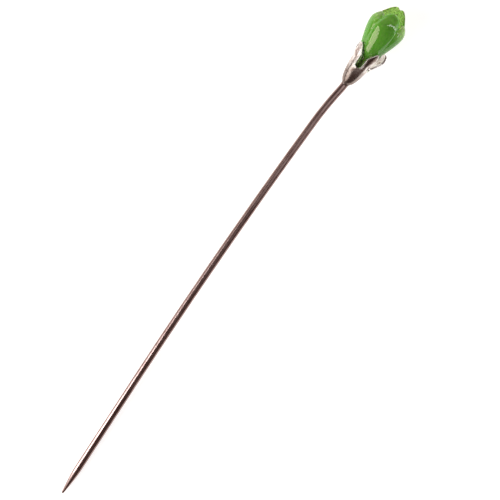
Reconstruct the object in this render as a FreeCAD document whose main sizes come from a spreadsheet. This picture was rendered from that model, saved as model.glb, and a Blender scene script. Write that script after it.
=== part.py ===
import FreeCAD, Part
import math
import os
import Sketcher
from FreeCAD import Placement, Rotation, Vector

# A decorative hair pin: a slim bowed metal shaft, a flower calyx on its end and a glass bud.
#
# Every sub-part is drawn in the pin's own frame, in mm: Z along the bud's axis towards its
# mouth, z = 0 at the calyx's base, X to the front petal, Y in the plane of the shaft's bow.
# At the end the pin is laid down on the plane z = 0, front petal up, with +X towards the bud.

SIZES = [
    ("shaft_radius", "1.13", "round shaft"),
    ("shaft_top", "4.3", "shaft's upper end, inside the calyx"),
    ("crook_start", "0.8", "straight stretch below the calyx"),
    ("crook_radius", "27", "small crook under the calyx"),
    ("crook_angle", "6.5", "degrees"),
    ("return_radius", "115", "bend back after the crook"),
    ("return_angle", "7.5", "degrees"),
    ("bow_radius", "2300", "long shallow bow"),
    ("bow_angle", "2.5", "degrees"),
    ("straight_length", "38.4", "straight lower stretch, point included"),
    ("point_length", "4.6", "tapered point"),
    ("point_depth", "0.66", "fall in radius over the point"),
    ("point_round", "0.4", "rounding of the blunt end"),
    ("seat_depth", "1.5", "peg's seat in the shaft's upper end"),
    ("seat_radius", "0.46", "peg's seat"),
    ("bore_radius", "1.15", "calyx bore for the shaft"),
    ("bore_depth", "4.4", "calyx bore for the shaft"),
    ("peg_hole_radius", "0.5", "hole in the calyx's floor"),
    ("floor_height", "5.0", "floor of the calyx cup"),
    ("floor_radius", "2.15", "floor of the calyx cup"),
    ("base_radius", "1.5", "calyx at its base"),
    ("base_curve", "14", "outer curve from base to waist"),
    ("waist_radius", "3.2", "calyx at the foot of its sepals"),
    ("waist_inner", "2.65", "cup's inside at the foot of the sepals"),
    ("waist_height", "6.5", "foot of the sepals"),
    ("flare_curve", "18", "outer curve from waist to lip"),
    ("flare_inner_curve", "18.5", "inner curve from waist to lip"),
    ("lip_radius", "4.7", "sepal tips, outer side"),
    ("lip_inner", "4.2", "sepal tips, inner side"),
    ("lip_height", "13.4", "sepal tips"),
    ("sepals", "4", "number of sepals"),
    ("notch_foot", "7.0", "ends of the U notch's round bottom"),
    ("notch_half", "1.35", "half width of the U notch"),
    ("notch_round", "1.5", "round bottom of the U notch"),
    ("notch_shoulder", "10.9", "where the notch opens out"),
    ("notch_shoulder_half", "1.45", "half width there"),
    ("notch_shoulder_curve", "7", "leaf curve of the sepals' edges"),
    ("notch_top", "13.8", "above the sepal tips"),
    ("notch_top_half", "3.6", "half width there"),
    ("peg_radius", "0.45", "post that carries the bud"),
    ("peg_top", "15.0", "post's upper end"),
    ("key_radius", "0.36", "keying grooves in the post"),
    ("key_first", "10.4", "lowest keying groove"),
    ("key_height", "0.4", "width of a keying groove"),
    ("key_pitch", "1.5", "between keying grooves"),
    ("keys", "3", "number of keying grooves"),
    ("glass_bore_radius", "0.6", "blind hole in the glass"),
    ("glass_bore_top", "15.4", "its full radius ends here"),
    ("glass_bore_tip", "15.75", "cone at its end"),
    ("neck_radius", "1.1", "glass neck in the calyx"),
    ("neck_bottom", "5.7", "glass neck's lower end"),
    ("neck_top", "9.2", "where the glass starts to flare"),
    ("neck_curve", "5.5", "flare from neck to hip"),
    ("hip_radius", "3.3", "where the petals start to swell"),
    ("hip_height", "12.4", "where the petals start to swell"),
    ("core_radius", "4.5", "glass under the petals and low wall between them"),
    ("core_height", "19.0", "where it reaches that radius"),
    ("core_top", "22.2", "top of the wall between the petals"),
    ("petal_reach", "160", "degrees that each petal spans about its own axis"),
    ("petal_belly_height", "20.9", "petals' widest place"),
    ("front_azimuth", "0", "degrees about the bud's axis"),
    ("front_offset", "2.2", "petal's own axis, from the bud's axis"),
    ("front_foot_height", "12.0", "petal's lower end"),
    ("front_belly_girth", "3.95", "petal's radius about its own axis"),
    ("front_tip_height", "25.4", "where the petal's tip rounds over"),
    ("front_tip_girth", "1.5", "petal's radius about its own axis there"),
    ("front_lower_curve", "16", "petal's outline, foot to belly"),
    ("front_upper_curve", "7.0", "petal's outline, belly to tip"),
    ("front_crown_height", "26.3", "top of the round tip"),
    ("front_crown_curve", "2.0", "round tip"),
    ("side_azimuth", "72", "degrees, one petal on each side"),
    ("side_offset", "2.2", "as for the front petal"),
    ("side_foot_height", "12.0", ""),
    ("side_belly_girth", "3.95", ""),
    ("side_tip_height", "23.6", ""),
    ("side_tip_girth", "1.9", ""),
    ("side_lower_curve", "16", ""),
    ("side_upper_curve", "4.4", ""),
    ("side_crown_height", "24.6", ""),
    ("side_crown_curve", "2.4", ""),
    ("back_azimuth", "140", "degrees, the two petals that the pin lies on"),
    ("back_offset", "3.1", "wider apart, so that they form a steady foot"),
    ("back_foot_height", "13.0", ""),
    ("back_belly_girth", "3.4", ""),
    ("back_tip_height", "26.4", ""),
    ("back_tip_girth", "1.5", ""),
    ("back_lower_curve", "12.5", ""),
    ("back_upper_curve", "12.0", ""),
    ("back_crown_height", "27.5", ""),
    ("back_crown_curve", "2.0", ""),
    ("foot_girth", "0.2", "every petal's radius about its own axis, at its foot"),
    ("front_foot_radius", "=front_offset + foot_girth", "from the bud's axis"),
    ("front_belly_radius", "=front_offset + front_belly_girth", "from the bud's axis"),
    ("front_tip_radius", "=front_offset + front_tip_girth", "from the bud's axis"),
    ("side_foot_radius", "=side_offset + foot_girth", "from the bud's axis"),
    ("side_belly_radius", "=side_offset + side_belly_girth", "from the bud's axis"),
    ("side_tip_radius", "=side_offset + side_tip_girth", "from the bud's axis"),
    ("back_foot_radius", "=back_offset + foot_girth", "from the bud's axis"),
    ("back_belly_radius", "=back_offset + back_belly_girth", "from the bud's axis"),
    ("back_tip_radius", "=back_offset + back_tip_girth", "from the bud's axis"),
    ("mouth_bottom", "17.0", "lowest point of the open mouth"),
    ("mouth_lower_curve", "5.0", "bowl of the mouth"),
    ("mouth_belly_height", "21.3", "mouth's widest place"),
    ("mouth_belly_radius", "4.0", "mouth's widest place"),
    ("mouth_upper_curve", "14", "mouth's wall up to the rim"),
    ("mouth_rim_height", "27.9", "just above the petals' tips"),
    ("mouth_rim_radius", "1.9", "mouth's radius there"),
    ("glue_film_top", "15.3", "glue's upper end in the glass bore"),
    ("solder_radius", "1.45", "solder ring against the calyx's base"),
    ("solder_curve", "1.4", "hollow of the solder ring"),
]

X_AXIS = -1
Y_AXIS = -2
ORIGIN = (-1, 1)
SETTLE_STEPS = 4


def read(sheet, name):
    """A cell's value as a plain number."""
    return float(sheet.get(name))


def make_sheet(doc):
    sheet = doc.addObject("Spreadsheet::Sheet", "Sizes")
    for row, (name, value, note) in enumerate(SIZES, start=1):
        sheet.set("A%d" % row, name)
        sheet.set("B%d" % row, value)
        sheet.setAlias("B%d" % row, name)
        sheet.set("C%d" % row, note)
    doc.recompute()
    return sheet


def make_body(doc, label):
    body = doc.addObject("PartDesign::Body", label)
    body.Label = label
    return body


def origin_feature(body, role):
    return next(item for item in body.Origin.OriginFeatures if item.Role == role)


def make_sketch(body, name, role):
    sketch = body.newObject("Sketcher::SketchObject", name)
    sketch.AttachmentSupport = [(origin_feature(body, role), "")]
    sketch.MapMode = "FlatFace"
    return sketch


def drive(sketch, kind, where, name, value):
    """Add a dimension to a sketch and tie it to a cell."""
    index = sketch.addConstraint(Sketcher.Constraint(kind, *where, value))
    sketch.setExpression("Constraints[%d]" % index, "Sizes." + name)


def place_point(sketch, sheet, geometry, end, names):
    """Tie a point to its two cells. None is zero, and a leading minus is the other side."""
    for name, kind, axis in zip(names, ("DistanceX", "DistanceY"), (Y_AXIS, X_AXIS)):
        if name is None:
            sketch.addConstraint(Sketcher.Constraint("PointOnObject", geometry, end, axis))
        elif name.startswith("-"):
            value = read(sheet, name[1:])
            drive(sketch, kind, (geometry, end) + ORIGIN, name[1:], value)
        else:
            drive(sketch, kind, ORIGIN + (geometry, end), name, read(sheet, name))


def corner_position(sheet, names):
    values = []
    for name in names:
        if name is None:
            values.append(0.0)
        elif name.startswith("-"):
            values.append(-read(sheet, name[1:]))
        else:
            values.append(read(sheet, name))
    return Vector(values[0], values[1], 0.0)


def arc_between(start, finish, radius, side):
    """The short arc of a radius from start to finish, its centre on the left or right."""
    chord = finish - start
    half = chord.Length / 2.0
    normal = Vector(-chord.y, chord.x, 0.0).normalize()
    if side == "right":
        normal = normal * -1.0
    centre = (start + finish) * 0.5 + normal * math.sqrt(radius ** 2 - half ** 2)
    first, last = (start, finish) if side == "left" else (finish, start)
    low = math.atan2(first.y - centre.y, first.x - centre.x)
    high = math.atan2(last.y - centre.y, last.x - centre.x)
    if high < low:
        high += 2.0 * math.pi
    circle = Part.Circle(centre, Vector(0, 0, 1), radius)
    return Part.ArcOfCircle(circle, low, high)


def draw_outline(sketch, sheet, corners):
    """A closed outline. A corner is (x cell, y cell) or (x cell, y cell, radius cell, side),
    where the last two make an arc to the next corner."""
    edges = []
    for index, corner in enumerate(corners):
        start = corner_position(sheet, corner[:2])
        finish = corner_position(sheet, corners[(index + 1) % len(corners)][:2])
        if len(corner) == 2:
            geometry = sketch.addGeometry(Part.LineSegment(start, finish), False)
            edges.append((geometry, 1, 2))
        else:
            radius = read(sheet, corner[2])
            arc = arc_between(start, finish, radius, corner[3])
            geometry = sketch.addGeometry(arc, False)
            edges.append((geometry, 1, 2) if corner[3] == "left" else (geometry, 2, 1))
            drive(sketch, "Radius", (geometry,), corner[2], radius)
    for index, (geometry, start_end, finish_end) in enumerate(edges):
        following = edges[(index + 1) % len(edges)]
        joint = Sketcher.Constraint("Coincident", geometry, finish_end, following[0], following[1])
        sketch.addConstraint(joint)
        place_point(sketch, sheet, geometry, start_end, corners[index][:2])


def draw_circle(sketch, sheet, radius_name):
    radius = read(sheet, radius_name)
    circle = Part.Circle(Vector(0, 0, 0), Vector(0, 0, 1), radius)
    geometry = sketch.addGeometry(circle, False)
    sketch.addConstraint(Sketcher.Constraint("Coincident", geometry, 3, *ORIGIN))
    drive(sketch, "Radius", (geometry,), radius_name, radius)


def revolve(body, kind, name, sketch, axis="V_Axis"):
    feature = body.newObject(kind, name)
    feature.Profile = sketch
    feature.ReferenceAxis = (sketch, [axis])
    feature.Angle = 360.0
    return feature


def polar_pattern(body, name, feature, count_name):
    pattern = body.newObject("PartDesign::PolarPattern", name)
    pattern.Originals = [feature]
    pattern.Axis = (origin_feature(body, "Z_Axis"), [""])
    pattern.Angle = 360.0
    pattern.setExpression("Occurrences", "Sizes." + count_name)
    body.Tip = pattern
    return pattern


def draw_shaft_path(sketch, sheet):
    """Centreline from the calyx down to the point: straight, crook, bend back, bow, straight."""
    position = Vector(0.0, read(sheet, "shaft_top"), 0.0)
    heading = 0.0
    stub = Vector(0.0, -read(sheet, "crook_start"), 0.0)
    last = sketch.addGeometry(Part.LineSegment(position, stub), False)
    place_point(sketch, sheet, last, 1, (None, "shaft_top"))
    place_point(sketch, sheet, last, 2, (None, "-crook_start"))
    last_end = 2
    position = stub
    for bend, side in (("crook", -1.0), ("return", 1.0), ("bow", 1.0)):
        radius = read(sheet, bend + "_radius")
        angle = math.radians(read(sheet, bend + "_angle"))
        across = Vector(math.cos(heading), math.sin(heading), 0.0) * side
        centre = position + across * radius
        turned = heading + side * angle
        finish = centre - Vector(math.cos(turned), math.sin(turned), 0.0) * side * radius
        turn = "left" if side > 0.0 else "right"
        arc = sketch.addGeometry(arc_between(position, finish, radius, turn), False)
        begin, end = (1, 2) if side > 0.0 else (2, 1)
        sketch.addConstraint(Sketcher.Constraint("Tangent", last, last_end, arc, begin))
        drive(sketch, "Radius", (arc,), bend + "_radius", radius)
        index = sketch.addConstraint(Sketcher.Constraint("Angle", arc, angle))
        sketch.setExpression("Constraints[%d]" % index, "Sizes.%s_angle * 1 deg" % bend)
        last, last_end, heading, position = arc, end, turned, finish
    length = read(sheet, "straight_length")
    finish = position + Vector(math.sin(heading), -math.cos(heading), 0.0) * length
    line = sketch.addGeometry(Part.LineSegment(position, finish), False)
    sketch.addConstraint(Sketcher.Constraint("Tangent", last, last_end, line, 1))
    drive(sketch, "Distance", (line,), "straight_length", length)


def make_shaft(doc, sheet):
    body = make_body(doc, "pin_shaft")
    section = make_sketch(body, "shaft_section", "XY_Plane")
    section.setExpression("AttachmentOffset.Base.z", "Sizes.shaft_top")
    draw_circle(section, sheet, "shaft_radius")
    path = make_sketch(body, "shaft_path", "YZ_Plane")
    draw_shaft_path(path, sheet)
    rod = body.newObject("PartDesign::AdditivePipe", "shaft_rod")
    rod.Profile = section
    rod.Spine = path
    doc.recompute()

    seat_section = make_sketch(body, "peg_seat_section", "XY_Plane")
    seat_section.setExpression("AttachmentOffset.Base.z", "Sizes.shaft_top")
    draw_circle(seat_section, sheet, "seat_radius")
    seat = body.newObject("PartDesign::Pocket", "peg_seat")
    seat.Profile = seat_section
    seat.setExpression("Length", "Sizes.seat_depth")
    doc.recompute()

    taper = body.newObject("PartDesign::Chamfer", "point_taper")
    taper.Base = (seat, [lowest_edge_name(seat.Shape)])
    taper.ChamferType = "Two distances"
    taper.setExpression("Size", "Sizes.point_length")
    taper.setExpression("Size2", "Sizes.point_depth")
    doc.recompute()

    blunt = body.newObject("PartDesign::Fillet", "point_rounding")
    blunt.Base = (taper, [lowest_edge_name(taper.Shape)])
    blunt.setExpression("Radius", "Sizes.point_round")
    return body


def lowest_edge_name(shape):
    """The circle at the shaft's lower end."""
    circles = [
        (edge.BoundBox.ZMax, index)
        for index, edge in enumerate(shape.Edges, start=1)
        if edge.isClosed()
    ]
    return "Edge%d" % min(circles)[1]


def make_calyx(doc, sheet):
    body = make_body(doc, "calyx")
    profile = make_sketch(body, "calyx_profile", "XZ_Plane")
    draw_outline(profile, sheet, [
        ("base_radius", None, "base_curve", "left"),
        ("waist_radius", "waist_height", "flare_curve", "right"),
        ("lip_radius", "lip_height"),
        ("lip_inner", "lip_height", "flare_inner_curve", "left"),
        ("waist_inner", "waist_height"),
        ("floor_radius", "floor_height"),
        ("peg_hole_radius", "floor_height"),
        ("peg_hole_radius", "bore_depth"),
        ("bore_radius", "bore_depth"),
        ("bore_radius", None),
    ])
    revolve(body, "PartDesign::Revolution", "calyx_cup", profile)
    doc.recompute()

    notch = make_sketch(body, "notch_outline", "YZ_Plane")
    draw_outline(notch, sheet, [
        ("-notch_half", "notch_foot", "notch_round", "left"),
        ("notch_half", "notch_foot"),
        ("notch_shoulder_half", "notch_shoulder", "notch_shoulder_curve", "right"),
        ("notch_top_half", "notch_top"),
        ("-notch_top_half", "notch_top", "notch_shoulder_curve", "right"),
        ("-notch_shoulder_half", "notch_shoulder"),
    ])
    cut = body.newObject("PartDesign::Pocket", "sepal_notch")
    cut.Profile = notch
    cut.Type = "ThroughAll"
    polar_pattern(body, "sepal_notches", cut, "sepals")
    return body


def make_solder(doc, sheet):
    body = make_body(doc, "solder_ring")
    profile = make_sketch(body, "solder_profile", "XZ_Plane")
    draw_outline(profile, sheet, [
        ("shaft_radius", "-crook_start", "solder_curve", "right"),
        ("solder_radius", None),
        ("shaft_radius", None),
    ])
    revolve(body, "PartDesign::Revolution", "solder_fillet", profile)
    return body


def make_peg(doc, sheet):
    body = make_body(doc, "bud_peg")
    section = make_sketch(body, "peg_section", "XY_Plane")
    section.setExpression("AttachmentOffset.Base.z", "Sizes.shaft_top - Sizes.seat_depth")
    draw_circle(section, sheet, "peg_radius")
    post = body.newObject("PartDesign::Pad", "peg_post")
    post.Profile = section
    post.setExpression("Length", "Sizes.peg_top - Sizes.shaft_top + Sizes.seat_depth")
    doc.recompute()

    key_outer = make_sketch(body, "key_section", "XY_Plane")
    key_outer.setExpression("AttachmentOffset.Base.z", "Sizes.key_first + Sizes.key_height")
    draw_circle(key_outer, sheet, "peg_radius")
    draw_circle(key_outer, sheet, "key_radius")
    groove = body.newObject("PartDesign::Pocket", "key_groove")
    groove.Profile = key_outer
    groove.setExpression("Length", "Sizes.key_height")
    doc.recompute()

    rows = body.newObject("PartDesign::LinearPattern", "key_grooves")
    rows.Originals = [groove]
    rows.Direction = (origin_feature(body, "Z_Axis"), [""])
    rows.setExpression("Length", "(Sizes.keys - 1) * Sizes.key_pitch")
    rows.setExpression("Occurrences", "Sizes.keys")
    body.Tip = rows
    return body


def add_petal(body, sheet, which):
    """One petal of glass: an outline turned about the petal's own axis."""
    outline = make_sketch(body, which + "_petal_outline", "XZ_Plane")
    outline.AttachmentOffset = Placement(Vector(0, 0, 0), Rotation(Vector(0, 1, 0), 1.0))
    outline.setExpression("AttachmentOffset.Rotation.Angle", "Sizes.%s_azimuth" % which)
    foot = which + "_foot_height"
    tip = which + "_tip_height"
    crown = which + "_crown_height"
    draw_outline(outline, sheet, [
        (which + "_offset", foot),
        (which + "_foot_radius", foot, which + "_lower_curve", "left"),
        (which + "_belly_radius", "petal_belly_height", which + "_upper_curve", "left"),
        (which + "_tip_radius", tip, which + "_crown_curve", "left"),
        (which + "_offset", crown),
    ])
    low = corner_position(sheet, (which + "_offset", foot))
    high = corner_position(sheet, (which + "_offset", crown))
    own_axis = outline.addGeometry(Part.LineSegment(low, high), True)
    place_point(outline, sheet, own_axis, 1, (which + "_offset", foot))
    place_point(outline, sheet, own_axis, 2, (which + "_offset", crown))
    lobe = revolve(body, "PartDesign::Revolution", which + "_petal", outline, "Axis0")
    lobe.Midplane = True
    lobe.setExpression("Angle", "Sizes.petal_reach")
    body.Document.recompute()
    return lobe


def make_bud(doc, sheet):
    body = make_body(doc, "glass_bud")
    core = make_sketch(body, "core_profile", "XZ_Plane")
    draw_outline(core, sheet, [
        ("glass_bore_radius", "neck_bottom"),
        ("neck_radius", "neck_bottom"),
        ("neck_radius", "neck_top", "neck_curve", "right"),
        ("hip_radius", "hip_height"),
        ("core_radius", "core_height"),
        ("core_radius", "core_top"),
        (None, "core_top"),
        (None, "glass_bore_tip"),
        ("glass_bore_radius", "glass_bore_top"),
    ])
    revolve(body, "PartDesign::Revolution", "bud_core", core)
    doc.recompute()

    add_petal(body, sheet, "front")
    for pair in ("side", "back"):
        lobe = add_petal(body, sheet, pair)
        twin = body.newObject("PartDesign::Mirrored", pair + "_petal_twin")
        twin.Originals = [lobe]
        twin.MirrorPlane = (origin_feature(body, "XZ_Plane"), [""])
        body.Tip = twin
        doc.recompute()

    mouth = make_sketch(body, "mouth_profile", "XZ_Plane")
    draw_outline(mouth, sheet, [
        (None, "mouth_bottom", "mouth_lower_curve", "left"),
        ("mouth_belly_radius", "mouth_belly_height", "mouth_upper_curve", "left"),
        ("mouth_rim_radius", "mouth_rim_height"),
        (None, "mouth_rim_height"),
    ])
    revolve(body, "PartDesign::Groove", "bud_mouth", mouth)
    return body


def make_glue(doc, sheet):
    """Cured glue: a bed in the calyx cup and a film round the post, in one piece."""
    body = make_body(doc, "glue_bed")
    profile = make_sketch(body, "glue_profile", "XZ_Plane")
    draw_outline(profile, sheet, [
        ("peg_radius", "floor_height"),
        ("floor_radius", "floor_height"),
        ("waist_inner", "waist_height"),
        ("neck_radius", "waist_height"),
        ("neck_radius", "neck_bottom"),
        ("glass_bore_radius", "neck_bottom"),
        ("glass_bore_radius", "glue_film_top"),
        (None, "glue_film_top"),
        (None, "peg_top"),
        ("peg_radius", "peg_top"),
    ])
    revolve(body, "PartDesign::Revolution", "glue_mass", profile)
    return body


def lowest_point(body, turn):
    body.Placement = Placement(Vector(0, 0, 0), turn)
    return body.Shape.optimalBoundingBox(False, False).ZMin


def lay_down(bodies, shaft, bud):
    """Rest the pin on its lower petals and its point, centred over the origin."""
    flat = Rotation(Vector(0, 0, 1), Vector(0, -1, 0), Vector(1, 0, 0), "ZXY")
    tilt = 0.0
    for _ in range(SETTLE_STEPS):
        turn = Rotation(Vector(0, 1, 0), -tilt) * flat
        drop = lowest_point(shaft, turn) - lowest_point(bud, turn)
        tilt += math.degrees(drop / shaft.Shape.BoundBox.DiagonalLength)
    whole = FreeCAD.BoundBox()
    for body in bodies:
        body.Placement = Placement(Vector(0, 0, 0), turn)
        whole.add(body.Shape.optimalBoundingBox(False, False))
    shift = Vector(-whole.Center.x, -whole.Center.y, -whole.ZMin)
    for body in bodies:
        body.Placement = Placement(shift, turn)


def refuse_faults(doc):
    """Stop before writing if any feature failed or left a bad shape."""
    for item in doc.Objects:
        if "Invalid" in item.State or "Error" in item.State:
            raise RuntimeError("feature failed: " + item.Label)
        shape = getattr(item, "Shape", None)
        if shape is not None and item.isDerivedFrom("PartDesign::Feature"):
            if shape.isNull() or not shape.isValid():
                raise RuntimeError("bad shape: " + item.Label)


doc = FreeCAD.newDocument("hair_pin")
sheet = make_sheet(doc)
shaft = make_shaft(doc, sheet)
bud = make_bud(doc, sheet)
bodies = [
    shaft,
    make_calyx(doc, sheet),
    make_solder(doc, sheet),
    make_peg(doc, sheet),
    bud,
    make_glue(doc, sheet),
]
doc.recompute()
lay_down(bodies, shaft, bud)
doc.recompute()
refuse_faults(doc)
os.makedirs("parts", exist_ok=True)
for body in bodies:
    body.Shape.exportStep("parts/" + body.Label + ".step")
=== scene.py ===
import math

import bmesh
import bpy
import numpy
from mathutils import Matrix, Vector
from mathutils.bvhtree import BVHTree


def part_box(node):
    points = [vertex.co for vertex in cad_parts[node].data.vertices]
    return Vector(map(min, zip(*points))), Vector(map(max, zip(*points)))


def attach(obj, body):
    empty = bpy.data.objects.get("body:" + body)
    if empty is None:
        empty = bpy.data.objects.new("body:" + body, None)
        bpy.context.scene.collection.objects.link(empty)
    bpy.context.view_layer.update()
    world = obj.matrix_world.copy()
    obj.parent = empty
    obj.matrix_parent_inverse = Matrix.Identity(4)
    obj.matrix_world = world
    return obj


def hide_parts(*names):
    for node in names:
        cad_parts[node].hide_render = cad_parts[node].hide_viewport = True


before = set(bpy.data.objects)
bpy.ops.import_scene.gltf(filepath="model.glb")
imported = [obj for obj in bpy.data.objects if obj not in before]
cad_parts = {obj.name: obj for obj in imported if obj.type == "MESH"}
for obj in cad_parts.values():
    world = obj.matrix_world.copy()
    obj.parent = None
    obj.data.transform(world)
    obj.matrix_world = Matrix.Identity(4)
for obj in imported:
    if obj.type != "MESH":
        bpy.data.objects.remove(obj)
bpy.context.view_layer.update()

# A decorative hair pin lying on a light table: a bowed metal shaft, a silver calyx, a glass bud.

MM = 0.001
TURN = 2.0 * math.pi
QUARTER = math.pi / 2.0

# ---------------------------------------------------------------- the pin's own frame
# As in the CAD: Z along the bud's axis towards its mouth, z = 0 at the calyx's base, X to the
# front petal, Y in the plane of the shaft's bow. Its place is read off the bud's post.
POST_LENGTH = 12.2 * MM
POST_DIAMETER = 0.9 * MM
POST_MIDDLE = 8.9 * MM
post_low, post_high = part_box("bud_peg")
PITCH = math.asin((post_high[2] - post_low[2] - POST_DIAMETER) / POST_LENGTH)
AXIS = Vector((math.cos(PITCH), 0.0, math.sin(PITCH)))
FRONT = Vector((-math.sin(PITCH), 0.0, math.cos(PITCH)))
ACROSS = Vector((0.0, -1.0, 0.0))
BASE = (Vector(post_low) + Vector(post_high)) * 0.5 - AXIS * POST_MIDDLE


def place(x, y, z):
    """A point of the pin's own frame, in mm, as a place in the scene, in metres."""
    return BASE + (FRONT * x + ACROSS * y + AXIS * z) * MM


def polar(radius, angle, z):
    """The same for a point given by its distance from the bud's axis and its azimuth."""
    return place(radius * math.cos(angle), radius * math.sin(angle), z)


def clamp(value):
    return min(1.0, max(0.0, value))


def smooth(points, at):
    """A smooth curve through a few (place, value) points, read at one place."""
    if at <= points[0][0]:
        return points[0][1]
    if at >= points[-1][0]:
        return points[-1][1]
    i = max(k for k in range(len(points) - 1) if points[k][0] <= at)
    x0, y0 = points[i]
    x1, y1 = points[i + 1]

    def slope(k):
        a, b = max(k - 1, 0), min(k + 1, len(points) - 1)
        return (points[b][1] - points[a][1]) / (points[b][0] - points[a][0])

    span = x1 - x0
    t = (at - x0) / span
    m0, m1 = slope(i) * span, slope(i + 1) * span
    return (
        (2 * t ** 3 - 3 * t ** 2 + 1) * y0
        + (t ** 3 - 2 * t ** 2 + t) * m0
        + (3 * t ** 2 - 2 * t ** 3) * y1
        + (t ** 3 - t ** 2) * m1
    )


# ---------------------------------------------------------------- mesh helpers
def new_piece(name, bm, replaces, levels=0):
    """A smooth-shaded piece that rides on the pin's one body."""
    bmesh.ops.recalc_face_normals(bm, faces=bm.faces)
    mesh = bpy.data.meshes.new(name)
    bm.to_mesh(mesh)
    bm.free()
    shade_smooth(mesh)
    piece = bpy.data.objects.new(name, mesh)
    bpy.context.scene.collection.objects.link(piece)
    if levels:
        sub = piece.modifiers.new("smooth", "SUBSURF")
        sub.levels = levels
        sub.render_levels = levels
    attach(piece, "root")
    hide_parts(*replaces)
    return piece


def shade_smooth(mesh):
    for polygon in mesh.polygons:
        polygon.use_smooth = True


def column_at(k, count):
    """Place of a column across a sheet, from -1 to 1, with the columns closer at its edges."""
    return math.sin(QUARTER * (2.0 * k / count - 1.0))


def skin_rings(bm, rings):
    """Faces between neighbouring closed rings of vertices."""
    for low, high in zip(rings, rings[1:]):
        count = len(low)
        for k in range(count):
            n = (k + 1) % count
            bm.faces.new((low[k], low[n], high[n], high[k]))


def close_ring(bm, ring):
    """A fan of faces over a closed ring of vertices."""
    hub = bm.verts.new(sum((v.co for v in ring), Vector()) / len(ring))
    for k in range(len(ring)):
        bm.faces.new((ring[k], ring[(k + 1) % len(ring)], hub))


def skin_sheet(bm, outer, inner, first_open=0):
    """Faces over both sides of a bent sheet, over its two ends and over its long edges.

    outer and inner are rows of vertices. Below row first_open the long edges have no faces."""
    columns = range(len(outer[0]) - 1)
    for grid in (outer, inner):
        for a, b in zip(grid, grid[1:]):
            for k in columns:
                bm.faces.new((a[k], a[k + 1], b[k + 1], b[k]))
    for j in (0, -1):
        for k in columns:
            bm.faces.new((outer[j][k], outer[j][k + 1], inner[j][k + 1], inner[j][k]))
    for j in range(first_open, len(outer) - 1):
        for k in (0, -1):
            bm.faces.new((outer[j][k], outer[j + 1][k], inner[j + 1][k], inner[j][k]))


# ---------------------------------------------------------------- shaft
SHAFT_RADIUS = 1.13
SHAFT_SIDES = 40
SHAFT_TOP = 4.3
CROOK_START = 0.8
# from the top down: (radius, angle in degrees) of a bend, or (length, 0) of a straight run
SHAFT_BENDS = (
    (CROOK_START + SHAFT_TOP, 0.0),
    (27.0, -5.7),
    (115.0, 6.3),
    (1983.0, 2.9),
    (41.4, 0.0),
)
SHAFT_STEP = 1.2
LEAST_STEPS = 3
# the point: its length, the radius at its end and the gain from there as shares of the shaft's,
# the power of that gain, how steeply the very end is rounded off, and where the rings stand
POINT_LENGTH = 10.0
POINT_END = 0.32
POINT_GAIN = 0.68
POINT_SWELL = 1.3
POINT_ROUNDING = 20.0
POINT_STATIONS = (
    1.0, 0.9, 0.8, 0.7, 0.6, 0.5, 0.4, 0.3, 0.22, 0.15, 0.1, 0.07, 0.048, 0.034, 0.022, 0.013,
    0.006, 0.002,
)


def shaft_line():
    """Places and directions along the shaft's centreline, from its top down to its point."""
    y, z, heading = 0.0, SHAFT_TOP, 0.0
    line = [(y, z, heading)]
    for size, angle in SHAFT_BENDS:
        turn = math.radians(angle)
        length = size * abs(turn) if angle else size
        steps = max(LEAST_STEPS, round(length / SHAFT_STEP))
        for _ in range(steps):
            middle = heading + turn / steps / 2.0
            y += math.sin(middle) * length / steps
            z -= math.cos(middle) * length / steps
            heading += turn / steps
            line.append((y, z, heading))
    return line


def shaft_radius(left):
    """Radius where that much length is left before the point's end."""
    if left >= POINT_LENGTH:
        return SHAFT_RADIUS
    t = left / POINT_LENGTH
    share = POINT_END + POINT_GAIN * math.sin(t * QUARTER) ** POINT_SWELL
    return SHAFT_RADIUS * share * min(1.0, (t * POINT_ROUNDING) ** 0.5)


def shaft_ring(bm, y, z, heading, radius):
    ring = []
    for k in range(SHAFT_SIDES):
        angle = TURN * k / SHAFT_SIDES
        side = radius * math.sin(angle)
        ring.append(bm.verts.new(place(
            radius * math.cos(angle),
            y + side * math.cos(heading),
            z + side * math.sin(heading),
        )))
    return ring


def make_shaft():
    line = shaft_line()
    lengths = [0.0]
    for (y0, z0, _), (y1, z1, _) in zip(line, line[1:]):
        lengths.append(lengths[-1] + math.hypot(y1 - y0, z1 - z0))
    bm = bmesh.new()
    rings = []
    for (y, z, heading), length in zip(line, lengths):
        if lengths[-1] - length > POINT_LENGTH:
            rings.append(shaft_ring(bm, y, z, heading, SHAFT_RADIUS))
    end_y, end_z, heading = line[-1]
    for share in POINT_STATIONS:
        left = share * POINT_LENGTH
        y = end_y - math.sin(heading) * left
        z = end_z + math.cos(heading) * left
        rings.append(shaft_ring(bm, y, z, heading, shaft_radius(left)))
    skin_rings(bm, rings)
    close_ring(bm, rings[0])
    close_ring(bm, rings[-1])
    return new_piece("pin_shaft_body", bm, ["pin_shaft"])


# ---------------------------------------------------------------- calyx
# outer radius of the cup, and of the sepals but for their bends, at a height
CALYX_OUTLINE = (
    (0.0, 1.5), (0.5, 1.85), (1.3, 2.2), (2.4, 2.55), (4.0, 2.9), (6.0, 3.2),
    (8.5, 3.45), (10.5, 3.8), (12.0, 4.15), (14.0, 4.6),
)
CUP_FLOOR = 5.0
BORE_RADIUS = 1.15
SHEET = 0.45
NOTCH_LOW = 6.35
NOTCH_HALF = 1.3
NOTCH_SHOULDER = 10.6
# above the shoulder a sepal narrows by this power, down to a share of its width
LEAF_TAPER = 0.72
LEAF_END = 0.03
# how far a sepal crowns between its edges, less where it bends out, and over what height it rises
CROWN = 0.16
CROWN_LOSS = 0.1
CROWN_RISE = 3.0
# the raised rim, which stands less high on the inner face
RIM_WIDTH = 0.42
RIM_LEAST_WIDTH = 0.05
RIM_HEIGHT = 0.16
RIM_INSIDE = 0.3
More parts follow.
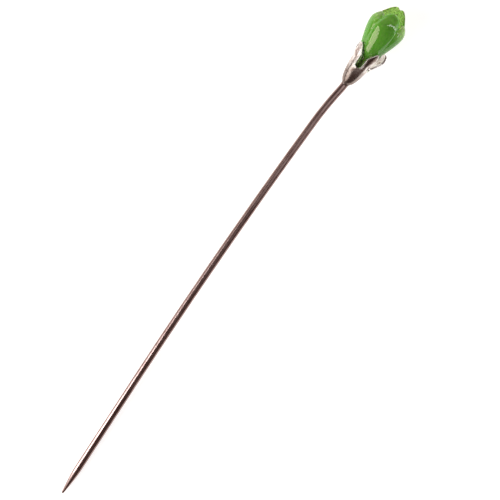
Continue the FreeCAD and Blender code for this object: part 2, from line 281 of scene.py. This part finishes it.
# how far each sepal bends out of the cup's outline: (height, offset)
FRONT_RIGHT_BEND = ((6.5, 0.0), (13.5, 0.05))
RIGHT_REAR_BEND = ((6.4, 0.0), (7.4, 0.6), (9.0, 1.55), (10.7, 2.1), (12.3, 1.8), (14.3, 0.7))
LEFT_REAR_BEND = ((6.5, 0.0), (10.0, 0.5), (13.6, 0.6))
FRONT_LEFT_BEND = ((6.5, 0.0), (13.7, -0.1))
# azimuths of the notches beside it, tip height, bend, and how dark it is in front and aside: partly
# tarnished silver, partly painted reflection of the dark room
SEPALS = (
    (-3.0, 83.0, 13.5, FRONT_RIGHT_BEND, 0.95, 0.05),
    (83.0, 172.0, 14.3, RIGHT_REAR_BEND, 0.2, 0.2),
    (172.0, 268.0, 13.6, LEFT_REAR_BEND, 0.9, 0.9),
    (268.0, 357.0, 13.7, FRONT_LEFT_BEND, 0.15, 0.0),
)
# darker towards the foot, by height: partly tarnished silver, partly painted reflection of the dark
# room
FOOT_TARNISH_AND_DARK_REFLECTION = ((0.0, 0.85), (4.0, 0.7), (7.5, 0.0))
# azimuth at which the darkening in front, partly tarnished silver and partly painted reflection,
# begins to fade, by height, and how far the fade takes
TARNISH_AND_DARK_REFLECTION_EDGE = ((6.4, 30.0), (8.0, 36.0), (10.5, 46.0), (13.0, 46.0))
TARNISH_AND_DARK_REFLECTION_FADE = 13.0
TARNISH_AND_DARK_REFLECTION_RISE = 2.5
SEPAL_COLUMNS = 18
CUP_ROWS = (0.0, 0.25, 0.6, 1.1, 1.7, 2.4, 3.2, 4.0, 4.6, CUP_FLOOR, 5.5, 5.85, 6.05, 6.2)
NOTCH_ROW_ANGLES = (0, 15, 30, 45, 60, 75, 90)
STRAIGHT_ROWS = (8.3, 9.1, 9.9, NOTCH_SHOULDER)
LEAF_ROW_SHARES = (0.14, 0.28, 0.42, 0.56, 0.7, 0.82, 0.91, 0.97, 1.0)
WELD = 2e-6


def calyx_rows(tip):
    """Heights of the rows of a sepal and of the cup below it."""
    notch = [NOTCH_LOW + NOTCH_HALF * (1.0 - math.cos(math.radians(a))) for a in NOTCH_ROW_ANGLES]
    leaf = [NOTCH_SHOULDER + (tip - NOTCH_SHOULDER) * t for t in LEAF_ROW_SHARES]
    return [*CUP_ROWS, *notch, *STRAIGHT_ROWS, *leaf]


def notch_gap(z):
    """Half width of the notch at a height, up to its shoulder."""
    rise = z - NOTCH_LOW
    if rise <= 0.0:
        return 0.0
    if rise < NOTCH_HALF:
        return math.sqrt(NOTCH_HALF ** 2 - (NOTCH_HALF - rise) ** 2)
    return NOTCH_HALF


def sepal_reach(reach, radius, z, tip):
    """Half the angle that a sepal spans at a height, from half the angle between its notches."""
    half = reach - notch_gap(z) / radius
    if z > NOTCH_SHOULDER:
        t = (z - NOTCH_SHOULDER) / (tip - NOTCH_SHOULDER)
        half *= max(LEAF_END, (1.0 - t) ** LEAF_TAPER)
    return half


def rim_share(across, z, half_width):
    """1 on the rim of the sepals and of the notch, falling to 0 a rim's width inside it.

    across is the distance from the sepal's side, half_width its half width there."""
    if z < NOTCH_LOW + NOTCH_HALF:
        away = math.hypot(across + notch_gap(z), NOTCH_LOW + NOTCH_HALF - z) - NOTCH_HALF
    else:
        away = across
    return max(0.0, 1.0 - max(0.0, away) / min(RIM_WIDTH, max(half_width, RIM_LEAST_WIDTH)))


def tarnish_and_dark_reflection_share(angle, z, rim, front, side):
    """How dark the silver is, partly tarnished and partly painted reflection of the dark room, with
    the foot darker and the rims bright.
    """
    aside = abs(math.remainder(math.degrees(angle), 360.0))
    leaf = front + (side - front) * clamp((aside - smooth(TARNISH_AND_DARK_REFLECTION_EDGE, z)) / TARNISH_AND_DARK_REFLECTION_FADE)
    leaf *= clamp((z - NOTCH_LOW) / TARNISH_AND_DARK_REFLECTION_RISE)
    return max(leaf, smooth(FOOT_TARNISH_AND_DARK_REFLECTION, z)) * (1.0 - rim)


def make_calyx():
    bm = bmesh.new()
    edge = bm.verts.layers.float.new("rim")
    # the silver's darkening: partly tarnished, partly painted reflection of the dark room
    tarnish_and_dark_reflection = bm.verts.layers.float.new("tarnish_and_dark_reflection")
    for first, last, tip, bend, front_tarnish_and_dark_reflection, side_tarnish_and_dark_reflection in SEPALS:
        middle = math.radians((first + last) / 2.0)
        reach = math.radians((last - first) / 2.0)
        rows = calyx_rows(tip)
        outer, inner = [], []
        for z in rows:
            radius = smooth(CALYX_OUTLINE, z)
            offset = smooth(bend, z)
            half_width = sepal_reach(reach, radius, z, tip) * radius
            hollow = radius - SHEET if z > CUP_FLOOR else BORE_RADIUS
            for grid, r, side in ((outer, radius, 1.0), (inner, hollow, -RIM_INSIDE)):
                line = []
                for k in range(SEPAL_COLUMNS + 1):
                    u = column_at(k, SEPAL_COLUMNS)
                    rim = rim_share((1.0 - abs(u)) * half_width, z, half_width)
                    crown = lift = 0.0
                    if z > NOTCH_LOW:
                        rise = min(1.0, (z - NOTCH_LOW) / CROWN_RISE)
                        crown = (CROWN - CROWN_LOSS * offset) * (1.0 - u * u) * rise
                    if z > CUP_FLOOR:
                        lift = side * RIM_HEIGHT * math.sin(QUARTER * rim)
                    angle = middle + u * half_width / (radius + offset)
                    vert = bm.verts.new(polar(r + crown + lift + offset, angle, z))
                    vert[edge] = rim
                    vert[tarnish_and_dark_reflection] = tarnish_and_dark_reflection_share(angle, z, rim, front_tarnish_and_dark_reflection, side_tarnish_and_dark_reflection)
                    line.append(vert)
                grid.append(line)
        skin_sheet(bm, outer, inner, rows.index(NOTCH_LOW))
    bmesh.ops.remove_doubles(bm, verts=bm.verts, dist=WELD)
    return new_piece("calyx_cup", bm, ["calyx"], levels=2)


# ---------------------------------------------------------------- glass bud
# outer radius of the bud at a height
BUD_OUTLINE = (
    (8.8, 1.1), (9.6, 1.35), (10.4, 2.0), (11.2, 2.75), (12.2, 3.45), (13.5, 3.95), (15.0, 4.5),
    (17.0, 5.15), (19.0, 5.65), (20.5, 5.88), (21.5, 5.88), (22.5, 5.6), (23.5, 5.1), (24.5, 4.5),
    (25.5, 3.9), (26.5, 3.4), (27.6, 2.9),
)
# half width of a petal at a height
FRONT_WIDTH = (
    (9.0, 0.8), (10.5, 1.7), (12.0, 2.7), (13.5, 3.2), (17.0, 3.4), (21.0, 3.45), (23.2, 3.3),
    (24.4, 2.85), (25.3, 2.15), (25.9, 1.35), (26.15, 0.8), (26.3, 0.25),
)
SIDE_WIDTH = (
    (9.0, 0.8), (10.5, 1.6), (12.0, 2.4), (14.0, 3.0), (17.0, 3.7), (20.0, 4.0), (22.0, 3.6),
    (23.0, 2.8), (23.8, 1.8), (24.2, 1.0), (24.4, 0.3),
)
BACK_WIDTH = (
    (9.0, 0.8), (10.5, 1.6), (12.0, 2.3), (15.0, 3.1), (18.0, 3.7), (21.0, 4.0), (23.2, 3.45),
    (24.6, 3.1), (25.6, 2.5), (26.5, 1.65), (27.1, 0.95), (27.5, 0.25),
)
# azimuth low down and at the tip, half widths, how far it stands out, how far its tip leans in,
# thickness low down and at the tip
PETALS = (
    (0.0, 0.0, FRONT_WIDTH, 0.3, 0.0, 2.4, 1.15),
    (72.0, 76.0, SIDE_WIDTH, 0.05, 0.1, 1.05, 0.85),
    (-72.0, -72.0, SIDE_WIDTH, 0.05, 0.25, 1.25, 1.0),
    (140.0, 157.0, BACK_WIDTH, -0.05, 0.0, 1.0, 0.5),
    (-140.0, -157.0, BACK_WIDTH, -0.05, 0.0, 1.0, 0.5),
)
PETAL_ROWS = 64
PETAL_COLUMNS = 44
# a power that sets the rows closer towards the tip
TIP_CROWDING = 1.5
# a petal crowns between its edges, out of an outline that is set back by nearly as much
PETAL_CROWN = 0.42
PETAL_CROWN_POWER = 1.7
PETAL_CROWN_WIDTH = 2.0
PETAL_SETBACK = 0.38
# how fast a petal comes to stand out, and where its tip begins to lean in, in its own height
STAND_OUT_RISE = 3.0
LEAN_FROM = 0.6
# near the bud's axis a petal wraps no further than this share of its width allows
WRAP_LIMIT = 0.7
# a petal's edge: its share of the full thickness, and the power that rounds it
EDGE_THICKNESS = 0.3
EDGE_ROUNDNESS = 6
LEAST_INNER_RADIUS = 0.6
# solid glass under the petals, round the blind hole for the post: (height, radius)
CORE_OUTLINE = (
    (5.75, 0.62), (5.72, 0.9), (5.8, 1.05), (6.2, 1.12), (7.5, 1.08), (8.8, 1.08), (9.6, 1.3),
    (10.4, 1.85), (11.2, 2.55), (12.2, 3.2), (13.5, 3.6), (15.5, 4.1), (17.5, 4.7), (19.5, 5.0),
    (20.6, 4.9), (21.0, 4.55), (20.6, 4.1), (19.2, 3.5), (17.9, 2.5), (17.3, 1.4), (17.1, 0.5),
    (17.07, 0.02),
)
BLIND_HOLE = ((15.75, 0.02), (15.4, 0.6))
CORE_SIDES = 120
FUSE_VOXEL = 0.11
SOFTENING_ROUNDS = 9
SOFTENING_FACTOR = 0.5
# depth of glass at which it no longer counts as thin, and the start of the ray under the skin
GLASS_DEPTH = 1.5
UNDER_SKIN = 0.02
THINNESS_BLUR = 250
# heights up to which the neck has its full painted shade, darker where the cup shades it, and at
# which it is clear of it
NECK_PAINTED_SHADE_FULL = 10.5
NECK_PAINTED_SHADE_CLEAR = 15.5


def make_petal(bm, low_azimuth, tip_azimuth, widths, stand_out, lean, low_thickness, tip_thickness):
    foot, tip = widths[0][0], widths[-1][0]
    outer, inner = [], []
    for j in range(PETAL_ROWS + 1):
        z = foot + (tip - foot) * (1.0 - (1.0 - j / PETAL_ROWS) ** TIP_CROWDING)
        t = (z - foot) / (tip - foot)
        radius = smooth(BUD_OUTLINE, z) - PETAL_SETBACK
        leaning = max(0.0, (t - LEAN_FROM) / (1.0 - LEAN_FROM)) ** 2
        radius += stand_out * min(1.0, t * STAND_OUT_RISE) - lean * leaning
        width = smooth(widths, z)
        azimuth = math.radians(low_azimuth + (tip_azimuth - low_azimuth) * t ** 2)
        thick = low_thickness + (tip_thickness - low_thickness) * t
        outside, inside = [], []
        for k in range(PETAL_COLUMNS + 1):
            u = column_at(k, PETAL_COLUMNS)
            angle = azimuth + u * width / max(radius, width * WRAP_LIMIT)
            crown = PETAL_CROWN * (1.0 - abs(u) ** PETAL_CROWN_POWER)
            crown *= min(1.0, width / PETAL_CROWN_WIDTH)
            full = math.sqrt(max(0.0, 1.0 - u ** EDGE_ROUNDNESS))
            depth = thick * (EDGE_THICKNESS + (1.0 - EDGE_THICKNESS) * full)
            outside.append(bm.verts.new(polar(radius + crown, angle, z)))
            inner_radius = max(LEAST_INNER_RADIUS, radius + crown - depth)
            inside.append(bm.verts.new(polar(inner_radius, angle, z)))
        outer.append(outside)
        inner.append(inside)
    skin_sheet(bm, outer, inner)


def make_core(bm):
    """The solid turned round the blind hole. The hair's breadth left open on its axis, between
    the hole and the mouth's floor, closes when the bud is fused."""
    rings = []
    for z, radius in CORE_OUTLINE + BLIND_HOLE:
        angles = [TURN * k / CORE_SIDES for k in range(CORE_SIDES)]
        rings.append([bm.verts.new(polar(radius, angle, z)) for angle in angles])
    skin_rings(bm, rings + rings[:1])


def bake_modifiers(piece):
    """Replace the mesh by what its modifiers make of it."""
    bpy.context.view_layer.update()
    graph = bpy.context.evaluated_depsgraph_get()
    mesh = bpy.data.meshes.new_from_object(piece.evaluated_get(graph))
    piece.modifiers.clear()
    piece.data = mesh
    shade_smooth(mesh)


def mark_thinness(mesh):
    """Store on each vertex how thin the glass is about it: 1 at a rim, 0 where it is solid."""
    tree = BVHTree.FromPolygons(
        [v.co for v in mesh.vertices], [p.vertices for p in mesh.polygons]
    )
    count = len(mesh.vertices)
    thin = numpy.zeros(count)
    for vert in mesh.vertices:
        start = vert.co - vert.normal * UNDER_SKIN * MM
        _, _, _, depth = tree.ray_cast(start, -vert.normal, GLASS_DEPTH * MM)
        if depth is not None:
            thin[vert.index] = 1.0 - depth / (GLASS_DEPTH * MM)
    ends = numpy.zeros(2 * len(mesh.edges), dtype=numpy.int32)
    mesh.edges.foreach_get("vertices", ends)
    one, other = ends[0::2], ends[1::2]
    neighbours = numpy.bincount(one, minlength=count) + numpy.bincount(other, minlength=count)
    for _ in range(THINNESS_BLUR):
        total = numpy.bincount(one, thin[other], count) + numpy.bincount(other, thin[one], count)
        thin = 0.5 * thin + 0.5 * total / neighbours
    layer = mesh.attributes.new("thinness", "FLOAT", "POINT")
    layer.data.foreach_set("value", thin.astype(numpy.float32))


def mark_painted_neck_shade(mesh):
    """Store painted shade on the glass towards its neck, where the cup shades it, alike all round.
    """
    neck = mesh.attributes.new("neck", "FLOAT", "POINT")
    for vert in mesh.vertices:
        z = (vert.co - BASE).dot(AXIS) / MM
        neck.data[vert.index].value = clamp((NECK_PAINTED_SHADE_CLEAR - z) / (NECK_PAINTED_SHADE_CLEAR - NECK_PAINTED_SHADE_FULL))


def make_bud():
    bm = bmesh.new()
    make_core(bm)
    for petal in PETALS:
        make_petal(bm, *petal)
    piece = new_piece("glass_bud_body", bm, ["glass_bud"])
    fuse = piece.modifiers.new("fuse", "REMESH")
    fuse.mode = "VOXEL"
    fuse.voxel_size = FUSE_VOXEL * MM
    soften = piece.modifiers.new("soften", "SMOOTH")
    soften.factor = SOFTENING_FACTOR
    soften.iterations = SOFTENING_ROUNDS
    bake_modifiers(piece)
    mark_thinness(piece.data)
    mark_painted_neck_shade(piece.data)
    return piece


# ---------------------------------------------------------------- material helpers
# the values between which nearly all of a noise lies
NOISE_LOW = 0.3
NOISE_HIGH = 0.7
COARSE_DETAIL = 2.0
MEDIUM_DETAIL = 3.0
FINE_DETAIL = 4.0


def principled(name):
    material = bpy.data.materials.new(name)
    material.use_nodes = True
    tree = material.node_tree
    return material, tree.nodes, tree.links, tree.nodes["Principled BSDF"]


def noise(nodes, links, scale, detail=MEDIUM_DETAIL, stretch=None):
    """Noise over the object's own coordinates, with one cell about 1 / scale metres wide."""
    texture = nodes.new("ShaderNodeTexNoise")
    texture.inputs["Scale"].default_value = scale
    texture.inputs["Detail"].default_value = detail
    where = nodes.new("ShaderNodeTexCoord")
    if stretch is None:
        links.new(where.outputs["Object"], texture.inputs["Vector"])
    else:
        mapping = nodes.new("ShaderNodeMapping")
        mapping.inputs["Scale"].default_value = stretch
        links.new(where.outputs["Object"], mapping.inputs["Vector"])
        links.new(mapping.outputs["Vector"], texture.inputs["Vector"])
    return texture.outputs["Fac"]


def spread(nodes, links, source, low, high, to_low, to_high):
    """Map one range of a value onto another."""
    node = nodes.new("ShaderNodeMapRange")
    node.inputs["From Min"].default_value = low
    node.inputs["From Max"].default_value = high
    node.inputs["To Min"].default_value = to_low
    node.inputs["To Max"].default_value = to_high
    links.new(source, node.inputs["Value"])
    return node.outputs["Result"]


def spread_noise(nodes, links, source, to_low, to_high):
    return spread(nodes, links, source, NOISE_LOW, NOISE_HIGH, to_low, to_high)


def ramp(nodes, links, source, *stops):
    """Colours at places along a value from 0 to 1."""
    node = nodes.new("ShaderNodeValToRGB")
    elements = node.color_ramp.elements
    while len(elements) < len(stops):
        elements.new(0.5)
    for element, (at, colour) in zip(elements, stops):
        element.position = at
        element.color = (*colour, 1.0)
    links.new(source, node.inputs["Fac"])
    return node.outputs["Color"]


def attribute_value(nodes, name):
    attribute = nodes.new("ShaderNodeAttribute")
    attribute.attribute_name = name
    return attribute.outputs["Fac"]


def cover(nodes, links, under, colour, attribute_name, full_at):
    """Lay a colour over another as far as a vertex attribute says."""
    value = attribute_value(nodes, attribute_name)
    mix = nodes.new("ShaderNodeMix")
    mix.data_type = "RGBA"
    colour_a, colour_b = [socket for socket in mix.inputs if socket.type == "RGBA"]
    links.new(spread(nodes, links, value, 0.0, full_at, 0.0, 1.0), mix.inputs["Factor"])
    links.new(under, colour_a)
    colour_b.default_value = (*colour, 1.0)
    return next(socket for socket in mix.outputs if socket.type == "RGBA")


def dress(piece, material):
    piece.data.materials.clear()
    piece.data.materials.append(material)


# ---------------------------------------------------------------- materials
SHAFT_DARK = (0.27, 0.175, 0.162)
SHAFT_LIGHT = (0.38, 0.277, 0.26)
SHAFT_BLOTCH = 420.0
# drawn lines along the shaft
SHAFT_STREAK = 900.0
SHAFT_STREAK_STRETCH = (0.06, 1.0, 1.0)
SHAFT_ROUGHNESS = (0.14, 0.26)

# brown in the hollows, pale silver, bright silver: where they lie in the mottling
SILVER_STOPS = ((0.33, (0.36, 0.26, 0.23)), (0.46, (0.76, 0.7, 0.66)), (0.6, (0.9, 0.87, 0.84)))
# dark brown of tarnished silver and of the painted reflection of the dark room
TARNISH_AND_DARK_REFLECTION_COLOUR = (0.17, 0.12, 0.1)
RIM_COLOUR = (0.93, 0.91, 0.88)
TARNISH_AND_DARK_REFLECTION_FULL_AT = 1.0
RIM_FULL_AT = 0.7
SILVER_ROUGHNESS = (0.34, 0.18)
SILVER_MOTTLE = 700.0
HAMMER_MARKS = 700.0
HAMMER_DEPTH = 0.00012
HAMMER_STRENGTH = 0.35

# from solid glass to a thin rim
GLASS_STOPS = (
    (0.0, (0.108, 0.385, 0.043)), (0.3, (0.2, 0.52, 0.08)),
    (0.6, (0.49, 0.78, 0.19)), (0.95, (0.66, 0.84, 0.4)),
)
# painted shade: the darker green that the glass is given towards its neck, inside the cup
NECK_PAINTED_SHADE_COLOUR = (0.06, 0.2, 0.03)
# above 1, so that the painted shade on the neck never fully covers
NECK_PAINTED_SHADE_FULL_AT = 2.2
GLASS_CLOUD = 260.0
GLASS_ROUGHNESS = (0.03, 0.09)
# how clear and how dull it gets, and between which shares of thinness
CLEARNESS = (0.05, 0.6)
CLEAR_BETWEEN = (0.25, 0.6)
DULLNESS = (0.0, 0.22)
DULL_BETWEEN = (0.4, 0.7)
GLASS_IOR = 1.46
GLASS_SPECULAR = 0.5
GLASS_SCATTER = 0.7
GLASS_SCATTER_COLOURS = (0.7, 1.0, 0.35)
GLASS_SCATTER_REACH = 0.0018

SOLDER_DARK, SOLDER_LIGHT, SOLDER_ROUGHNESS = (0.14, 0.1, 0.09), (0.26, 0.2, 0.18), 0.4
POST_DARK, POST_LIGHT, POST_ROUGHNESS = (0.5, 0.48, 0.46), (0.6, 0.58, 0.56), 0.25
METAL_GRAIN = 1500.0
METAL_ROUGHNESS_RANGE = (0.8, 1.3)

GLUE_DARK = (0.03, 0.06, 0.012)
GLUE_LIGHT = (0.06, 0.1, 0.02)
GLUE_GRAIN = 800.0
GLUE_ROUGHNESS = 0.15
GLUE_CLEARNESS = 0.3

FLOOR_TONE = (0.5, 0.5, 0.5)
FLOOR_GLOW = 0.84
FLOOR_ROUGHNESS = 0.85
FLOOR_SPECULAR = 0.1


def shaft_material():
    material, nodes, links, shader = principled("patinated_metal")
    shader.inputs["Metallic"].default_value = 1.0
    blotch = noise(nodes, links, SHAFT_BLOTCH, FINE_DETAIL)
    colour = ramp(nodes, links, blotch, (NOISE_LOW, SHAFT_DARK), (NOISE_HIGH, SHAFT_LIGHT))
    links.new(colour, shader.inputs["Base Color"])
    streak = noise(nodes, links, SHAFT_STREAK, COARSE_DETAIL, SHAFT_STREAK_STRETCH)
    links.new(spread_noise(nodes, links, streak, *SHAFT_ROUGHNESS), shader.inputs["Roughness"])
    return material


def calyx_material():
    material, nodes, links, shader = principled("antique_silver")
    shader.inputs["Metallic"].default_value = 1.0
    mottle = noise(nodes, links, SILVER_MOTTLE, FINE_DETAIL)
    colour = ramp(nodes, links, mottle, *SILVER_STOPS)
    # darkened silver: partly tarnished, partly painted reflection of the dark room
    colour = cover(nodes, links, colour, TARNISH_AND_DARK_REFLECTION_COLOUR, "tarnish_and_dark_reflection", TARNISH_AND_DARK_REFLECTION_FULL_AT)
    colour = cover(nodes, links, colour, RIM_COLOUR, "rim", RIM_FULL_AT)
    links.new(colour, shader.inputs["Base Color"])
    links.new(spread_noise(nodes, links, mottle, *SILVER_ROUGHNESS), shader.inputs["Roughness"])
    bump = nodes.new("ShaderNodeBump")
    bump.inputs["Distance"].default_value = HAMMER_DEPTH
    bump.inputs["Strength"].default_value = HAMMER_STRENGTH
    links.new(noise(nodes, links, HAMMER_MARKS, COARSE_DETAIL), bump.inputs["Height"])
    links.new(bump.outputs["Normal"], shader.inputs["Normal"])
    return material


def glass_material():
    """Opaque, cloudy and deep green where it is thick, paler, clearer and duller where thin."""
    material, nodes, links, shader = principled("jade_glass")
    thin = attribute_value(nodes, "thinness")
    colour = ramp(nodes, links, thin, *GLASS_STOPS)
    # painted shade towards the neck, where the cup shades the glass
    colour = cover(nodes, links, colour, NECK_PAINTED_SHADE_COLOUR, "neck", NECK_PAINTED_SHADE_FULL_AT)
    links.new(colour, shader.inputs["Base Color"])
    clearness = spread(nodes, links, thin, *CLEAR_BETWEEN, *CLEARNESS)
    links.new(clearness, shader.inputs["Transmission Weight"])
    polish = spread_noise(nodes, links, noise(nodes, links, GLASS_CLOUD), *GLASS_ROUGHNESS)
    dullness = spread(nodes, links, thin, *DULL_BETWEEN, *DULLNESS)
    roughness = nodes.new("ShaderNodeMath")
    roughness.operation = "ADD"
    links.new(polish, roughness.inputs[0])
    links.new(dullness, roughness.inputs[1])
    links.new(roughness.outputs["Value"], shader.inputs["Roughness"])
    shader.inputs["IOR"].default_value = GLASS_IOR
    shader.inputs["Specular IOR Level"].default_value = GLASS_SPECULAR
    shader.inputs["Subsurface Weight"].default_value = GLASS_SCATTER
    shader.inputs["Subsurface Radius"].default_value = GLASS_SCATTER_COLOURS
    shader.inputs["Subsurface Scale"].default_value = GLASS_SCATTER_REACH
    return material


def metal_material(name, dark, light, roughness):
    material, nodes, links, shader = principled(name)
    shader.inputs["Metallic"].default_value = 1.0
    grain = noise(nodes, links, METAL_GRAIN)
    colour = ramp(nodes, links, grain, (NOISE_LOW, dark), (NOISE_HIGH, light))
    links.new(colour, shader.inputs["Base Color"])
    smoothest, roughest = METAL_ROUGHNESS_RANGE
    polish = spread_noise(nodes, links, grain, roughness * smoothest, roughness * roughest)
    links.new(polish, shader.inputs["Roughness"])
    return material


def glue_material():
    material, nodes, links, shader = principled("cured_glue")
    grain = noise(nodes, links, GLUE_GRAIN)
    colour = ramp(nodes, links, grain, (NOISE_LOW, GLUE_DARK), (NOISE_HIGH, GLUE_LIGHT))
    links.new(colour, shader.inputs["Base Color"])
    shader.inputs["Roughness"].default_value = GLUE_ROUGHNESS
    shader.inputs["Transmission Weight"].default_value = GLUE_CLEARNESS
    return material


def floor_material():
    """A pale table that glows a little, as a light table does."""
    material, _, _, shader = principled("light_table")
    shader.inputs["Base Color"].default_value = (*FLOOR_TONE, 1.0)
    shader.inputs["Roughness"].default_value = FLOOR_ROUGHNESS
    shader.inputs["Specular IOR Level"].default_value = FLOOR_SPECULAR
    shader.inputs["Emission Color"].default_value = (1.0, 1.0, 1.0, 1.0)
    shader.inputs["Emission Strength"].default_value = FLOOR_GLOW
    return material


# ---------------------------------------------------------------- stage and camera
FLOOR_HALF = 3.0
VIEW_LEAN = math.radians(14.0)
VIEW_ROLL = math.radians(53.252)
AIM = Vector((0.00557, -0.00688, 0.005))
LENS = 400.0
SENSOR = 36.0
FRAME_WIDTH = 0.15117
NEAREST = 0.01


def make_stage():
    bm = bmesh.new()
    bmesh.ops.create_grid(bm, x_segments=1, y_segments=1, size=FLOOR_HALF)
    mesh = bpy.data.meshes.new("floor")
    bm.to_mesh(mesh)
    bm.free()
    floor = bpy.data.objects.new("floor", mesh)
    bpy.context.scene.collection.objects.link(floor)
    dress(floor, floor_material())
    return floor


def make_camera():
    """Nearly straight above the pin, leaning towards the bud's mouth, with the pin set askew."""
    towards = Vector((math.sin(VIEW_LEAN), 0.0, math.cos(VIEW_LEAN)))
    along = Vector((math.cos(VIEW_LEAN), 0.0, -math.sin(VIEW_LEAN)))
    aside = Vector((0.0, 1.0, 0.0))
    right = along * math.cos(VIEW_ROLL) - aside * math.sin(VIEW_ROLL)
    up = along * math.sin(VIEW_ROLL) + aside * math.cos(VIEW_ROLL)
    data = bpy.data.cameras.new("camera")
    data.lens = LENS
    data.sensor_width = SENSOR
    data.clip_start = NEAREST
    camera = bpy.data.objects.new("camera", data)
    bpy.context.scene.collection.objects.link(camera)
    distance = FRAME_WIDTH * LENS / SENSOR
    turn = Matrix((right, up, towards)).transposed()
    camera.matrix_world = Matrix.Translation(AIM + towards * distance) @ turn.to_4x4()
    bpy.context.scene.camera = camera


# ---------------------------------------------------------------- lights
WHITE = (1.0, 1.0, 1.0)
NEAR_WHITE = (1.0, 0.96, 0.92)
WARM = (1.0, 0.8, 0.66)
COOL = (0.92, 0.98, 1.0)
ROOM_COLOUR = (1.0, 0.66, 0.58, 1.0)
ROOM_STRENGTH = 0.13
HEAD = (0.08, 0.0, 0.006)
KEY_CORNER = (-0.38, 0.38, 0.34)
KEY_AXIS = (0.6, 0.8, 0.0)
KEY_SIZE = (0.56, 0.4)
FILL_SIZE = (0.5, 0.14)
CEILING_AXIS = (0.0, 1.0, 0.0)


def area_light(
    name, stands, aim, long_axis, size, radiance, colour=WHITE, lit=(), shape="RECTANGLE"
):
    """A softbox of a given brightness, with its long side along a direction.

    Where things to be lit are named, it is flagged off from all others."""
    data = bpy.data.lights.new(name, "AREA")
    data.shape = shape
    data.size, data.size_y = size
    area = size[0] * size[1] * (1.0 if shape == "RECTANGLE" else math.pi / 4.0)
    data.energy = radiance * math.pi * area
    data.color = colour
    light = bpy.data.objects.new(name, data)
    bpy.context.scene.collection.objects.link(light)
    back = (Vector(stands) - Vector(aim)).normalized()
    side = Vector(long_axis)
    side = (side - back * side.dot(back)).normalized()
    turn = Matrix((side, back.cross(side), back)).transposed()
    light.matrix_world = Matrix.Translation(Vector(stands)) @ turn.to_4x4()
    if lit:
        group = bpy.data.collections.new(name + "_lit")
        for thing in lit:
            group.objects.link(thing)
        light.light_linking.receiver_collection = group


def make_room():
    """A dim, warm room that the metal mirrors."""
    world = bpy.data.worlds.new("studio")
    bpy.context.scene.world = world
    world.use_nodes = True
    back = world.node_tree.nodes["Background"]
    back.inputs["Color"].default_value = ROOM_COLOUR
    back.inputs["Strength"].default_value = ROOM_STRENGTH


def make_lights(glass, silver, stick):
    """Softboxes for the pieces of glass, of silver and of the shaft, and some for all."""
    # the window on the left, once for each material
    area_light(
        "key", KEY_CORNER, HEAD, KEY_AXIS,
        size=(0.86, 0.44), radiance=6.8, colour=WARM, lit=glass, shape="ELLIPSE",
    )
    area_light(
        "silver_key", KEY_CORNER, HEAD, KEY_AXIS,
        size=KEY_SIZE, radiance=2.2, colour=NEAR_WHITE, lit=silver,
    )
    area_light(
        "stick_key", KEY_CORNER, HEAD, KEY_AXIS,
        size=KEY_SIZE, radiance=1.2, colour=NEAR_WHITE, lit=stick,
    )
    # the pale streak along the shaft's lower half
    area_light(
        "stick_edge", (-0.31, 0.45, 0.26), (-0.06, 0.0, 0.0), (-0.1, 0.0, 0.95),
        size=(0.5, 0.1), radiance=8.0, colour=COOL, lit=stick,
    )
    # the thin band of light near the front petal's tip
    area_light(
        "glint", (0.45, -0.28, 0.33), HEAD, (0.16, 0.82, 0.56),
        size=(0.95, 0.045), radiance=7.0,
    )
    area_light(
        "fill_right", (0.26, -0.6, 0.1), HEAD, (1.0, 0.3, 0.0),
        size=FILL_SIZE, radiance=3.2,
    )
    area_light(
        "fill_left", (0.26, 0.6, 0.1), HEAD, (1.0, -0.3, 0.0),
        size=FILL_SIZE, radiance=2.0,
    )
    area_light(
        "ceiling", (-0.05, -0.2, 0.4), (0.05, 0.0, 0.0), CEILING_AXIS,
        size=(0.8, 0.09), radiance=0.85, lit=stick + silver,
    )


# ---------------------------------------------------------------- the scene
shaft = make_shaft()
calyx = make_calyx()
bud = make_bud()
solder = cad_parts["solder_ring"]
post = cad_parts["bud_peg"]
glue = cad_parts["glue_bed"]
dress(shaft, shaft_material())
dress(calyx, calyx_material())
dress(bud, glass_material())
dress(solder, metal_material("solder", SOLDER_DARK, SOLDER_LIGHT, SOLDER_ROUGHNESS))
dress(post, metal_material("post_wire", POST_DARK, POST_LIGHT, POST_ROUGHNESS))
dress(glue, glue_material())
floor = make_stage()
make_room()
make_lights(glass=(bud, floor), silver=(calyx, glue), stick=(shaft, solder))
bpy.context.scene.view_settings.view_transform = "Standard"
make_camera()
